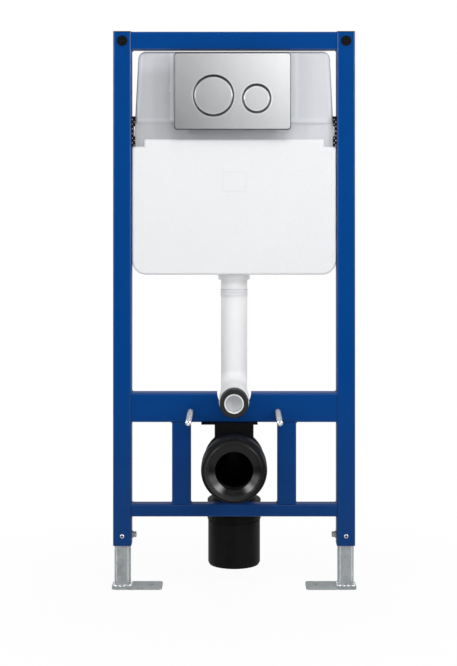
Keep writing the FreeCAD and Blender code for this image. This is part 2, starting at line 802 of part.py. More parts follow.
def pipe_bend(body, points, radius, tube_radius, wall, plane, offset):
    """Sweep a round tube along a line, a bend and a line in the body's YZ plane."""
    start, corner, end = points
    path = sketch_on(body, "YZ_Plane", "path")
    outline(path, [start, (*corner, radius), end], closed=False)
    ring = sketch_on(body, plane, "ring", offset)
    across = start[0] if plane == "XY_Plane" else start[1]
    circle(ring, 0, across, tube_radius)
    circle(ring, 0, across, tube_radius - wall)
    sweep = body.newObject("PartDesign::AdditivePipe", f"{body.Name}_sweep")
    sweep.Profile = ring
    sweep.Spine = (path, ["Edge1", "Edge2", "Edge3"])
    return sweep


def make_flush_line():
    """The flush line from the cistern's outlet to the seal that takes the pan's inlet."""
    bore = s.flush_pipe_radius - s.flush_pipe_wall
    collar_bottom = s.jacket_bottom - s.collar_height

    collar = new_body("outlet_collar")
    revolve(collar, "XZ_Plane", [
        (bore, collar_bottom),
        (s.collar_radius, collar_bottom),
        (s.collar_radius, s.jacket_bottom),
        (s.collar_spigot_radius, s.jacket_bottom),
        (s.collar_spigot_radius, s.tank_bottom),
        (bore, s.tank_bottom),
    ])
    place(collar, 0, s.flush_setback, 0)

    ring_top = collar_bottom - s.tailpiece_length
    tailpiece = new_body("flush_tailpiece")
    revolve(tailpiece, "XZ_Plane", [
        (bore, ring_top),
        (s.flush_pipe_radius, ring_top),
        (s.flush_pipe_radius, collar_bottom),
        (bore, collar_bottom),
    ])
    place(tailpiece, 0, s.flush_setback, 0)

    elbow_top = ring_top - s.joint_ring_height
    ring = new_body("flush_joint_ring")
    revolve(ring, "XZ_Plane", [
        (bore, elbow_top),
        (s.joint_ring_radius, elbow_top),
        (s.joint_ring_radius, ring_top),
        (bore, ring_top),
    ])
    place(ring, 0, s.flush_setback, 0)

    elbow = new_body("flush_elbow")
    points = (
        (s.flush_setback, elbow_top),
        (s.flush_setback, s.flush_height),
        (-s.elbow_reach, s.flush_height),
    )
    radius, wall = s.flush_pipe_radius, s.flush_pipe_wall
    pipe_bend(elbow, points, s.flush_bend_radius, radius, wall, "XY_Plane", elbow_top)
    place(elbow)

    socket_front = -s.elbow_reach - s.socket_length
    socket = new_body("flush_socket")
    revolve(socket, "XY_Plane", [
        (bore, -s.elbow_reach),
        (bore, socket_front),
        (s.socket_radius, socket_front),
        (s.socket_radius, -s.elbow_reach - s.socket_chamfer),
        (s.socket_radius - s.socket_chamfer, -s.elbow_reach),
    ])
    place(socket, 0, 0, s.flush_height)

    insert_radius = s.flush_bore_radius + s.insert_wall
    seal_front = socket_front - s.seal_length
    seal = new_body("flush_seal")
    revolve(seal, "XY_Plane", [
        (insert_radius + 0.1, socket_front),
        (insert_radius + 0.1, seal_front),
        (s.seal_radius - s.seal_edge, seal_front),
        (s.seal_radius, seal_front + s.seal_edge),
        (s.seal_radius, seal_front + s.seal_length * 0.3),
        (s.seal_radius - s.seal_groove, seal_front + s.seal_length * 0.3),
        (s.seal_radius - s.seal_groove, seal_front + s.seal_length * 0.45),
        (s.seal_radius, seal_front + s.seal_length * 0.45),
        (s.seal_radius, socket_front),
    ])
    place(seal, 0, 0, s.flush_height)

    insert = new_body("flush_insert")
    insert_back = socket_front + s.insert_tail
    revolve(insert, "XY_Plane", [
        (s.flush_bore_radius, seal_front - 1.5),
        (insert_radius, seal_front - 1.5),
        (insert_radius, insert_back - 4),
        (bore - 0.1, insert_back - 4),
        (bore - 0.1, insert_back),
        (s.flush_bore_radius, insert_back),
    ])
    place(insert, 0, 0, s.flush_height)


def make_waste_line():
    """The waste line from the mouth that takes the pan's outlet down to the drain."""
    bend_start = s.mouth_depth - s.mouth_reach
    bend = new_body("waste_bend")
    points = (
        (bend_start, s.waste_height),
        (s.waste_setback, s.waste_height),
        (s.waste_setback, s.bend_bottom),
    )
    pipe_bend(bend, points, s.bend_radius, s.bend_tube_radius, s.bend_tube_wall, "XZ_Plane", -bend_start)
    place(bend)

    mouth = new_body("waste_mouth")
    front = -s.mouth_reach
    rim = s.mouth_rim_radius - s.mouth_rim_wall
    bend_bore = s.bend_tube_radius - s.bend_tube_wall
    lip_outside = s.waste_bore_radius + s.lip_wall
    revolve(mouth, "XY_Plane", [
        (rim, front),
        (s.mouth_rim_radius, front, 1.5),
        (s.mouth_radius, front + s.mouth_round, s.mouth_round * 0.8),
        (s.mouth_radius, bend_start - 8, 4),
        (s.bend_tube_radius + 5, bend_start),
        (bend_bore, bend_start),
        (bend_bore, bend_start - 6),
        (rim, bend_start - 12),
    ])
    place(mouth, 0, 0, s.waste_height)

    lip = new_body("waste_lip_seal")
    lip_rim = rim - 0.1
    revolve(lip, "XY_Plane", [
        (lip_rim, front + 1),
        (lip_rim, front + 7),
        (lip_outside, front + s.funnel_depth + s.lip_wall),
        (lip_outside, front + s.funnel_depth + s.lip_length),
        (s.waste_bore_radius, front + s.funnel_depth + s.lip_length),
        (s.waste_bore_radius, front + s.funnel_depth),
        (lip_rim - s.lip_edge, front + 1),
    ])
    place(lip, 0, 0, s.waste_height)

    adapter = new_body("waste_adapter")
    spigot_bottom = s.adapter_bottom - s.adapter_spigot_length
    seat = s.bend_tube_radius + s.seat_gap
    revolve(adapter, "XZ_Plane", [
        (bend_bore, spigot_bottom),
        (s.adapter_spigot_radius, spigot_bottom),
        (s.adapter_spigot_radius, s.adapter_bottom),
        (s.adapter_radius, s.adapter_bottom),
        (s.adapter_radius, s.adapter_top - s.adapter_chamfer),
        (s.adapter_radius - s.adapter_chamfer, s.adapter_top),
        (seat, s.adapter_top),
        (seat, s.bend_bottom),
        (bend_bore, s.bend_bottom),
    ])
    place(adapter, 0, s.waste_setback, 0)

    drain = new_body("outlet_pipe")
    drain_bore = s.drain_radius - s.drain_wall
    revolve(drain, "XZ_Plane", [
        (drain_bore, s.drain_bottom),
        (s.drain_radius - s.drain_chamfer * 0.5, s.drain_bottom),
        (s.drain_radius, s.drain_bottom + s.drain_chamfer),
        (s.drain_radius, s.adapter_bottom - s.drain_groove * 1.5),
        (s.drain_radius - s.drain_groove, s.adapter_bottom - s.drain_groove * 1.5),
        (s.drain_radius - s.drain_groove, s.adapter_bottom),
        (drain_bore, s.adapter_bottom),
    ])
    place(drain, 0, s.waste_setback, 0)

    bracket = new_body("waste_bracket")
    rail_bottom = s.mid_rail_top - s.mid_rail_height
    reach = rail_bottom - s.waste_height
    ring = sketch_on(bracket, "XZ_Plane", "ring", s.bracket_front)
    circle(ring, 0, 0, s.bracket_ring_radius)
    pad(bracket, ring, s.bracket_thickness, reverse=True)
    stem = sketch_on(bracket, "XZ_Plane", "stem", s.bracket_front)
    box_outline(stem, -s.bracket_stem_width / 2, s.bracket_stem_width / 2, as_dim(0), reach)
    pad(bracket, stem, s.bracket_thickness, reverse=True)
    flange = sketch_on(bracket, "XZ_Plane", "flange", s.bracket_front)
    flange_half = s.bracket_flange_width / 2
    box_outline(flange, -flange_half - s.bracket_flange_shift, flange_half - s.bracket_flange_shift,
                reach - s.bracket_flange_height, reach)
    pad(bracket, flange, s.bracket_flange_depth, reverse=True)
    way = sketch_on(bracket, "XZ_Plane", "way", s.bracket_front)
    circle(way, 0, 0, s.bend_tube_radius + s.seat_gap)
    pocket(bracket, way, s.bracket_thickness)
    place(bracket, 0, 0, s.waste_height)


def export_nodes():
    """Recompute, stop on any feature in error, and write one STEP file a node."""
    doc.recompute()
    for obj in doc.Objects:
        if "Invalid" in obj.State or "Error" in obj.State:
            raise RuntimeError(f"{obj.Name} is in error: {obj.State}")
    os.makedirs("parts", exist_ok=True)
    for body in nodes:
        if body.Shape.isNull() or not body.Shape.isValid() or len(body.Shape.Solids) != 1:
            raise RuntimeError(f"{body.Label} is not one valid solid")
        body.Shape.exportStep(f"parts/{body.Label}.step")


make_uprights()
make_rails()
make_pan_studs()
make_feet()
make_tank_top()
make_tank_base()
make_jacket()
make_service_opening()
make_flush_plate()
make_tank_clips()
make_flush_line()
make_waste_line()
export_nodes()
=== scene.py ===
"""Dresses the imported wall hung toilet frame: finishes, threads, fasteners, welds and a stage."""

import json
import math

import bmesh
import bpy
from bpy.props import FloatProperty, FloatVectorProperty, PointerProperty
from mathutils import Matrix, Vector


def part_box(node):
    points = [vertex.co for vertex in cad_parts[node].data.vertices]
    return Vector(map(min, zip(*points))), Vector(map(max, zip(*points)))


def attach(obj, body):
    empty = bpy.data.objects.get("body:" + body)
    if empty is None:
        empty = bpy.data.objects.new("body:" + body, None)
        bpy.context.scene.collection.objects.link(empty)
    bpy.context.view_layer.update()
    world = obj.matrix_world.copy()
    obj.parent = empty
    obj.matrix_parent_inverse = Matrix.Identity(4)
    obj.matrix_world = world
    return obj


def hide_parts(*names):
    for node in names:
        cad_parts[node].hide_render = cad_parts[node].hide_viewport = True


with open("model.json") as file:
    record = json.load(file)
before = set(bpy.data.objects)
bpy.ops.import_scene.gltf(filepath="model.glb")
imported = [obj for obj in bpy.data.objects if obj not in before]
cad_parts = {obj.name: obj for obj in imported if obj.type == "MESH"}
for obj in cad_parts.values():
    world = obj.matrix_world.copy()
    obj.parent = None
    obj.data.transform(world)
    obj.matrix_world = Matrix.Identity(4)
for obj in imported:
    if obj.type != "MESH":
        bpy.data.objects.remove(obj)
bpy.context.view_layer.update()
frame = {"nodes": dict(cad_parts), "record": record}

bl_info = {
    "name": "Wall hung toilet frame",
    "version": (1, 0, 0),
    "blender": (4, 5, 0),
    "location": "3D View > Sidebar > Toilet frame",
    "description": "Finishes, fasteners and stage for a wall hung toilet frame",
    "category": "Object",
}

PHOTO_WIDTH, PHOTO_HEIGHT = 457, 666
FORWARDS, BACKWARDS = (0.0, -1.0, 0.0), (0.0, 1.0, 0.0)
TO_RIGHT, TO_LEFT = (1.0, 0.0, 0.0), (-1.0, 0.0, 0.0)


def length(label, description, default):
    """A size that a user may change, in metres."""
    return FloatProperty(
        name=label, description=description, default=default, min=0.0, unit="LENGTH"
    )


def colour(label, description, default):
    """A finish colour that a user may change, in linear light."""
    return FloatVectorProperty(
        name=label, description=description, default=default, min=0.0, max=1.0, size=3,
        subtype="COLOR",
    )


class FittingSizes(bpy.types.PropertyGroup):
    """Sizes of the small hardware on the frame."""

    thread_pitch: length("Thread pitch", "Rise of the stud thread in one turn", 0.00175)
    thread_depth: length("Thread depth", "Depth of the stud thread", 0.0009)
    stud_chamfer: length("Stud chamfer", "Chamfer at the ends of the pan studs", 0.0018)
    nut_width: length("Nut width", "Width of the stud nuts across their flats", 0.019)
    nut_height: length("Nut height", "Height of the stud nuts", 0.008)
    washer_radius: length("Washer radius", "Outer radius of the stud washers", 0.012)
    washer_height: length("Washer height", "Thickness of the washers", 0.002)
    clamp_screw_radius: length("Clamp screw radius", "Head radius of the leg clamp screws", 0.0044)
    clamp_screw_head: length("Clamp screw head", "Height of the heads of those screws", 0.0016)
    clamp_screw_rise: length("Clamp screw rise", "Height of those screws on the uprights", 0.020)
    side_bolt_width: length("Side bolt width", "Width of the bolts beside the legs", 0.013)
    side_bolt_head: length("Side bolt head", "Height of the heads of those bolts", 0.0055)
    side_bolt_nut: length("Side bolt nut", "Height of the nuts welded under those bolts", 0.004)
    side_bolt_rise: length("Side bolt rise", "Height of those bolts on the uprights", 0.020)
    weld_radius: length("Weld radius", "Radius of a weld bead on the frame", 0.0021)
    weld_step: length("Weld step", "Distance between beads on the frame", 0.0024)
    foot_weld_radius: length("Foot weld radius", "Radius of a weld spot on the feet", 0.0036)
    foot_weld_step: length("Foot weld step", "Distance between spots on the feet", 0.0068)
    tooth_radius: length("Tooth radius", "Radius of the teeth of the tank clips", 0.0011)
    tooth_step: length("Tooth step", "Distance between the teeth of the tank clips", 0.0048)
    plug_radius: length("Plug radius", "Radius of the dust plugs in the wall bushes", 0.0054)
    plug_recess: length("Plug recess", "Depth of those plugs in the bushes", 0.0018)
    flush_plug_radius: length("Flush plug radius", "Radius of the plug in the flush outlet", 0.0168)
    flush_plug_recess: length("Flush plug recess", "Depth of that plug in the outlet", 0.016)
    rib_height: length("Rib height", "Height of the ribs under the cistern seam", 0.020)


class FinishColours(bpy.types.PropertyGroup):
    """Colours of the finishes."""

    frame_blue: colour("Frame blue", "Powder coat of the steel frame", (0.000, 0.047, 0.218))
    galvanised_steel: colour("Galvanised steel", "Zinc on legs and feet", (0.385, 0.410, 0.420))
    zinc_stud: colour("Zinc stud", "Bright zinc of studs, nuts and screws", (0.740, 0.750, 0.770))
    black_plastic: colour("Black plastic", "Waste line, caps and clips", (0.003, 0.003, 0.0035))
    black_rubber: colour("Black rubber", "Seals", (0.005, 0.005, 0.0055))
    tank_plastic: colour("Tank plastic", "Milky plastic of the cistern", (0.530, 0.540, 0.568))
    white_foam: colour("White foam", "Insulation jacket", (0.750, 0.755, 0.770))
    satin_chrome: colour("Satin chrome", "Flush plate and buttons", (0.760, 0.770, 0.785))
    white_plastic: colour("White plastic", "Flush line", (0.910, 0.915, 0.920))
    grey_seal: colour("Grey seal", "Joint ring of the flush line", (0.690, 0.690, 0.720))


class Wire:
    """An output of a node. Arithmetic on it adds Math nodes, so that a formula reads as one."""

    def __init__(self, bench, socket):
        self.bench = bench
        self.socket = socket

    def other(self, key):
        """Another output of the same node."""
        return Wire(self.bench, find_socket(self.socket.node.outputs, key))

    def math(self, operation, *terms):
        """The result of a Math node."""
        return self.bench.node("ShaderNodeMath", {"operation": operation}, dict(enumerate(terms)))

    def __add__(self, other):
        return self.math("ADD", self, other)

    def __radd__(self, other):
        return self.math("ADD", other, self)

    def __sub__(self, other):
        return self.math("SUBTRACT", self, other)

    def __rsub__(self, other):
        return self.math("SUBTRACT", other, self)

    def __mul__(self, other):
        return self.math("MULTIPLY", self, other)

    def __rmul__(self, other):
        return self.math("MULTIPLY", other, self)

    def __truediv__(self, other):
        return self.math("DIVIDE", self, other)

    def __pow__(self, other):
        return self.math("POWER", self, other)

    def __abs__(self):
        return self.math("ABSOLUTE", self)

    def fraction(self):
        return self.math("FRACT", self)

    def sine(self):
        return self.math("SINE", self)

    def larger(self, other):
        return self.math("MAXIMUM", self, other)

    def smaller(self, other):
        return self.math("MINIMUM", self, other)

    def clamped(self, low=0.0, high=1.0):
        return self.larger(low).smaller(high)

    def ramp(self, start, end):
        """Rise smoothly from 0 at start to 1 at end."""
        return self.bench.node(
            "ShaderNodeMapRange",
            {"interpolation_type": "SMOOTHSTEP"},
            {"Value": self, "From Min": start, "From Max": end},
        )


def find_socket(sockets, key):
    """A socket by its place, its identifier or its name."""
    if isinstance(key, int):
        return sockets[key]
    for socket in sockets:
        if socket.identifier == key:
            return socket
    for socket in sockets:
        if socket.name == key and socket.enabled:
            return socket
    raise KeyError(f"{sockets[0].node.bl_idname} has no socket {key}")


class Bench:
    """Adds nodes to a tree: first a node's settings, then the values or links of its sockets."""

    def __init__(self, tree):
        self.tree = tree

    def node(self, kind, settings=None, sockets=None, output=0):
        """Add a node. Returns the wire of one output, or None where there is none."""
        made = self.tree.nodes.new(kind)
        for name, value in (settings or {}).items():
            setattr(made, name, value)
        for key, value in (sockets or {}).items():
            socket = find_socket(made.inputs, key)
            if isinstance(value, Wire):
                self.tree.links.new(value.socket, socket)
            else:
                socket.default_value = value
        return Wire(self, find_socket(made.outputs, output)) if made.outputs else None

    def place(self):
        """Object coordinates, which are the CAD frame's metres on every piece."""
        return self.node("ShaderNodeTexCoord", output="Object")

    def axes(self, vector):
        """The three numbers of a vector."""
        x = self.node("ShaderNodeSeparateXYZ", sockets={0: vector})
        return x, x.other("Y"), x.other("Z")

    def stretched(self, vector, scale):
        """A vector with each axis scaled, for grain that runs one way."""
        return self.node("ShaderNodeMapping", sockets={"Vector": vector, "Scale": scale})

    def noise(self, vector, scale, detail=2.0):
        return self.node(
            "ShaderNodeTexNoise", sockets={"Vector": vector, "Scale": scale, "Detail": detail}
        )

    def cells(self, vector, scale, feature="F1", output="Distance"):
        return self.node(
            "ShaderNodeTexVoronoi",
            {"feature": feature},
            {"Vector": vector, "Scale": scale},
            output,
        )

    def blend(self, factor, first, second):
        """A colour between two."""
        return self.node(
            "ShaderNodeMix",
            {"data_type": "RGBA"},
            {"Factor_Float": factor, "A_Color": first, "B_Color": second},
            "Result_Color",
        )

    def bump(self, height, strength, distance):
        return self.node(
            "ShaderNodeBump", sockets={"Height": height, "Strength": strength, "Distance": distance}
        )

    def surface(self, **sockets):
        """Close a material with a Principled shader. Socket names are given with _ for a space."""
        named = {name.replace("_", " "): value for name, value in sockets.items()}
        shader = self.node("ShaderNodeBsdfPrincipled", sockets=named)
        self.node("ShaderNodeOutputMaterial", sockets={"Surface": shader})


def tone(base, factor):
    """A colour made lighter or darker, with full alpha."""
    return (*(min(1.0, channel * factor) for channel in base), 1.0)


def stripe(value, centre, half):
    """1 where a value is at the centre, falling to 0 at half a width from it."""
    return 1.0 - abs(value - centre).ramp(0.3 * half, half)


def powder_coat(bench, base):
    """Satin blue powder coat: fine orange peel, glossy at the corners with a painted highlight, and
    painted shade near the floor.
    """
    floor_shade_colour, floor_shade_share = (0.0105, 0.0390, 0.1350, 1.0), 0.65
    corner_highlight_colour, corner_highlight_share = (0.15, 0.24, 0.42, 1.0), 0.08
    place = bench.place()
    _, _, up = bench.axes(place)
    cloud = bench.noise(place, 7.0)
    peel = bench.noise(place, 620.0)
    speck = bench.noise(place, 2400.0, 1.0)
    # Painted shade: the blue turns darker and duller towards the floor, in patches.
    dust = (1.0 - up.ramp(0.08, 0.50)) * (0.75 + 0.5 * cloud)
    clean = bench.blend(0.6 * cloud + 0.4 * speck, tone(base, 0.88), tone(base, 1.10))
    x, y, z = bench.axes(bench.node("ShaderNodeNewGeometry", output="Normal"))
    corner = 1.0 - abs(x).larger(abs(y)).larger(abs(z)).ramp(0.93, 0.99)
    # Painted highlight: the corners are blended towards a paler blue.
    corner_highlighted = bench.blend(corner_highlight_share * corner, clean, corner_highlight_colour)
    bench.surface(
        Base_Color=bench.blend(floor_shade_share * dust, corner_highlighted, floor_shade_colour),
        Roughness=0.28 + 0.12 * peel,
        Specular_IOR_Level=0.05,
        Coat_Weight=0.5 * corner,
        Coat_Roughness=0.15,
        Normal=bench.bump(peel, 0.18, 0.00025),
    )


def galvanised(bench, base):
    """Zinc coat with spangle, drawing lines and dull spots, with painted highlights along the legs'
    edges.
    """
    edge_inset, edge_half = 0.0040, 0.0020
    place = bench.place()
    spangle, _, _ = bench.axes(bench.cells(place, 120.0, output="Color"))
    lines = bench.noise(bench.stretched(place, (900.0, 900.0, 14.0)), 1.0)
    spots = bench.noise(place, 160.0, 4.0).ramp(0.60, 0.74)
    grain = 0.5 * spangle + 0.5 * lines
    across, _, up = bench.axes(place)
    low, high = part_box("right_leg")
    from_edge = (high.x - low.x) / 2 - abs(abs(across) - (low.x + high.x) / 2)
    above_plate = up.ramp(0.012, 0.016)
    # Painted highlight: pale lines just inside the legs' edges.
    edge_highlight = stripe(from_edge, edge_inset, edge_half) * above_plate
    clean = bench.blend(grain, tone(base, 0.82), tone(base, 1.18))
    clean = bench.blend(edge_highlight, clean, tone(base, 1.55))
    bench.surface(
        Base_Color=bench.blend(0.35 * spots, clean, tone(base, 0.55)),
        Metallic=0.65,
        Roughness=0.40 + 0.16 * spangle + 0.08 * spots,
        Normal=bench.bump(grain, 0.12, 0.0003),
    )


def bright_zinc(bench, base):
    """Bright zinc plate with small stains."""
    place = bench.place()
    stain = bench.noise(place, 130.0, 3.0)
    grain = bench.noise(place, 1500.0, 1.0)
    bench.surface(
        Base_Color=bench.blend(stain, tone(base, 0.80), tone(base, 1.15)),
        Metallic=0.65,
        Roughness=0.18 + 0.14 * stain,
        Normal=bench.bump(grain, 0.10, 0.0001),
    )


def black_moulding(bench, base):
    """Black moulded plastic with a fine texture and a trace of dust."""
    place = bench.place()
    grain = bench.noise(place, 900.0)
    dust = bench.noise(place, 45.0, 5.0).ramp(0.52, 0.80)
    bench.surface(
        Base_Color=bench.blend(0.25 * dust, tone(base, 1.0), tone(base, 3.2)),
        Roughness=0.40 + 0.08 * grain + 0.14 * dust,
        Specular_IOR_Level=0.10,
        Normal=bench.bump(grain, 0.12, 0.0002),
    )


def black_rubber(bench, base):
    """Smooth rubber with a faint bloom. The waste lip is dished, the seal above it duller."""
    dish_radius, dish_slope = 0.051, 0.30
    bead_radius, bead_half, bead_height = 0.0545, 0.0016, 0.0006
    place = bench.place()
    across, _, up = bench.axes(place)
    low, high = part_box("waste_lip_seal")
    out = (across ** 2.0 + (up - (low.z + high.z) / 2) ** 2.0) ** 0.5
    bead = bead_height * stripe(out, bead_radius, bead_half)
    dish = dish_slope * out.smaller(dish_radius) + bead
    above_lip = up.ramp(high.z, high.z + 0.01)
    grain = bench.noise(place, 700.0, 3.0)
    bloom = bench.noise(place, 60.0, 4.0)
    bench.surface(
        Base_Color=bench.blend(bloom, tone(base, 0.8), tone(base, 1.5)),
        Roughness=0.15 + 0.08 * bloom + 0.32 * above_lip,
        Specular_IOR_Level=0.40,
        Normal=bench.bump(0.00002 * grain + dish, 1.0, 1.0),
    )


def milky_plastic(bench, base):
    """Blow moulded plastic: milky clouds, faint flow lines, painted light that makes it paler to
    the right and at the top, and painted highlight lines.
    """
    taper, side_inset, side_half = 0.010, 0.0065, 0.0030
    neck_reach, neck_half = 0.1295, 0.0048
    place = bench.place()
    across, back, up = bench.axes(place)
    low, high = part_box("cistern_top_shell")
    cloud = bench.noise(place, 16.0, 3.0)
    flow = bench.noise(bench.stretched(place, (60.0, 60.0, 7.0)), 1.0, 3.0)
    grain = bench.noise(place, 500.0)
    # Painted light: paler to the right and at the top.
    right = across.ramp(-0.10, 0.17)
    top = up.ramp(high.z - 0.052, high.z - 0.026)
    milk_and_painted_light = 0.20 * cloud + 0.12 * flow + 0.68 * right.larger(0.55 * top)
    to_side = high.x - taper * (up - low.z) / (high.z - low.z) - abs(across)
    # Painted highlights: pale lines inside the sides, beside the neck and just over the seam.
    side_highlight = stripe(to_side, side_inset, side_half)
    seam_highlight = stripe(up, low.z + 0.0060, 0.0050)
    seam_line = stripe(up, low.z - 0.0015, 0.0014)
    in_front = 1.0 - back.ramp(low.y + 0.010, low.y + 0.030)
    above_seam = up.ramp(low.z + 0.002, low.z + 0.008)
    neck_highlight = stripe(abs(across), neck_reach, neck_half) * above_seam * in_front
    lines = 0.22 * side_highlight + 0.42 * neck_highlight + 0.26 * seam_highlight - 0.60 * seam_line
    paleness_and_painted_light = (lines + milk_and_painted_light).clamped()
    bench.surface(
        Base_Color=bench.blend(paleness_and_painted_light, tone(base, 0.72), tone(base, 1.12)),
        Roughness=0.30 + 0.12 * cloud,
        Coat_Weight=0.10,
        Normal=bench.bump(0.5 * cloud + 0.5 * grain, 0.10, 0.0006),
    )


def bead_foam(bench, base):
    """Moulded bead foam: packed beads with fine seams, and one plain mould mark in front with
    painted shade in its groove.
    """
    place = bench.place()
    seam = bench.cells(place, 250.0, "DISTANCE_TO_EDGE")
    bead = seam.ramp(0.0, 0.16)
    tint, _, _ = bench.axes(bench.cells(place, 250.0, output="Color"))
    across, back, up = bench.axes(place)
    mark = mould_mark(across, back, up)
    shade = 0.62 * bead + 0.38 * tint
    bench.surface(
        # Painted shade: the groove of the mould mark is darkened in colour.
        Base_Color=bench.blend(shade - 3.2 * mark, tone(base, 0.975), tone(base, 1.01)),
        Roughness=0.74 + 0.10 * tint,
        Normal=bench.bump(0.16 * bead - mark, 0.45, 0.0012),
    )


def mould_mark(across, back, up):
    """1 along a shallow rectangular groove in the front of the jacket, and 0 elsewhere."""
    low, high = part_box("insulation_jacket")
    half_width, half_height, groove = 0.0242, 0.0205, 0.0018
    centre = low.z + 0.681 * (high.z - low.z)
    beside = (abs(across) - half_width).larger(abs(up - centre) - half_height)
    in_front = 1.0 - back.ramp(low.y + 0.001, low.y + 0.003)
    return (1.0 - abs(beside).ramp(0.4 * groove, groove)) * in_front


def satin_chrome(bench, base):
    """Satin chrome on a gently crowned plate: brushed, with painted shade in the button gaps and
    along the rim, and painted highlights on the lips of the gaps.
    """
    place = bench.place()
    across, _, up = bench.axes(place)
    low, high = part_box("flush_plate")
    middle = (low + high) / 2
    crown = (across - middle.x) ** 2.0 + (up - middle.z) ** 2.0
    full_gap_shade, full_lip_highlight = button_gap_shade_and_lip_highlight(across, up, "full_flush_button")
    half_gap_shade, half_lip_highlight = button_gap_shade_and_lip_highlight(across, up, "half_flush_button")
    # Painted shade: dark in the button gaps and along the plate's rim.
    dark = (full_gap_shade + half_gap_shade).larger(0.85 * plate_rim(across, up, low, high))
    brush = bench.noise(bench.stretched(place, (26.0, 26.0, 2600.0)), 1.0)
    haze = bench.noise(place, 30.0, 3.0)
    face = bench.blend(0.5 * brush + 0.5 * haze, tone(base, 0.95), tone(base, 1.05))
    # Painted highlight: pale lips on both sides of the button gaps.
    lip_highlighted = bench.blend(full_lip_highlight + half_lip_highlight, face, tone(base, 1.30))
    bench.surface(
        Base_Color=bench.blend(dark, lip_highlighted, tone(base, 0.03)),
        Metallic=1.0,
        Roughness=0.20 + 0.05 * brush + 0.04 * haze,
        Normal=bench.bump(0.00002 * brush - 0.36 * crown, 1.0, 1.0),
    )


def button_gap_shade_and_lip_highlight(across, up, button):
    """Painted shade in the gap over and under a button, and painted highlights on the lips on both
    sides of the gap.
    """
    gap = 0.003
    low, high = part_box(button)
    centre, radius = (low + high) / 2, (high.x - low.x) / 2
    rise = up - centre.z
    out = ((across - centre.x) ** 2.0 + rise ** 2.0) ** 0.5
    over = stripe(out, radius + 0.5 * gap, 1.25 * gap) * (rise / out).ramp(0.30, 0.85)
    under = stripe(out, radius + 0.5 * gap, 1.05 * gap) * (-1.0 * rise / out).ramp(0.35, 0.90)
    outer_lip_highlight = stripe(out, radius + 1.7 * gap, 0.40 * gap)
    inner_lip_highlight = stripe(out, radius - 0.7 * gap, 0.40 * gap)
    return over + under, outer_lip_highlight + inner_lip_highlight


def plate_rim(across, up, low, high):
    """1 along the outer edge of the flush plate, with its rounded corners, and 0 on its face."""
    rounding = 0.007
    middle = (low + high) / 2
    beyond_x = abs(across - middle.x) - (high.x - low.x) / 2 + rounding
    beyond_z = abs(up - middle.z) - (high.z - low.z) / 2 + rounding
    to_corner = (beyond_x.larger(0.0) ** 2.0 + beyond_z.larger(0.0) ** 2.0) ** 0.5
    outside = to_corner + beyond_x.larger(beyond_z).smaller(0.0) - rounding
    return outside.ramp(-0.0026, -0.0012)


def white_moulding(bench, base):
    """White pipe plastic: smooth, with faint drawing lines and a painted shadow on the elbow just
    behind the socket.
    """
    joint_depth, joint_half, joint_shadow_share = 0.006, 0.014, 0.35
    place = bench.place()
    cloud = bench.noise(place, 30.0, 3.0)
    lines = bench.noise(bench.stretched(place, (320.0, 320.0, 9.0)), 1.0)
    _, back, _ = bench.axes(place)
    # Painted shadow: darker in a band just behind the flush socket.
    joint = joint_shadow_share * stripe(back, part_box("flush_socket")[1].y + joint_depth, joint_half)
    clean = bench.blend(0.5 * cloud + 0.5 * lines, tone(base, 0.98), tone(base, 1.01))
    bench.surface(
        Base_Color=bench.blend(joint, clean, tone(base, 0.55)),
        Roughness=0.26 + 0.10 * cloud,
        Subsurface_Weight=1.0,
        Subsurface_Radius=(0.005, 0.005, 0.005),
        Subsurface_Scale=1.0,
        Normal=bench.bump(lines, 0.05, 0.0003),
    )


def grooved_seal(bench, base):
    """Soft grey joint ring with grooves round it."""
    place = bench.place()
    _, _, up = bench.axes(place)
    low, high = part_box("flush_joint_ring")
    groove_count = 3.0
    turns = (up - low.z) * (groove_count * math.tau / (high.z - low.z))
    groove = turns.sine().ramp(-1.0, -0.2)
    cloud = bench.noise(place, 60.0)
    bench.surface(
        # Painted shade: the colour is darker in the hollows between the raised rings.
        Base_Color=bench.blend(0.75 * groove + 0.25 * cloud, tone(base, 0.80), tone(base, 1.08)),
        Roughness=0.36 + 0.10 * cloud,
        Normal=bench.bump(groove, 0.6, 0.0006),
    )


FINISHES = {
    "frame_blue": powder_coat,
    "galvanised_steel": galvanised,
    "zinc_stud": bright_zinc,
    "black_plastic": black_moulding,
    "black_rubber": black_rubber,
    "tank_plastic": milky_plastic,
    "white_foam": bead_foam,
    "satin_chrome": satin_chrome,
    "white_plastic": white_moulding,
    "grey_seal": grooved_seal,
}


def finish_of(slot):
    """The material of a slot, built on first use."""
    material = bpy.data.materials.get(slot + "_finish")
    if material is None:
        material = bpy.data.materials.new(slot + "_finish")
        material.use_nodes = True
        material.node_tree.nodes.clear()
        FINISHES[slot](Bench(material.node_tree), getattr(bpy.context.scene.finish_colours, slot))
    return material


def new_tree(name, inputs):
    """A Geometry Nodes tree with named inputs. Returns its bench and the wires of the inputs."""
    tree = bpy.data.node_groups.new(name, "GeometryNodeTree")
    for label, kind in inputs.items():
        tree.interface.new_socket(label, in_out="INPUT", socket_type=kind)
    tree.interface.new_socket("Geometry", in_out="OUTPUT", socket_type="NodeSocketGeometry")
    bench = Bench(tree)
    first = bench.node("NodeGroupInput")
    return bench, {label: first.other(label) for label in inputs}


def close_tree(bench, geometry, material):
    """End a tree in plain faces with one material."""
    real = bench.node("GeometryNodeRealizeInstances", sockets={0: geometry})
    painted = bench.node(
        "GeometryNodeSetMaterial", sockets={"Geometry": real, "Material": material}
    )
    bench.node("NodeGroupOutput", sockets={"Geometry": painted})
    return bench.tree


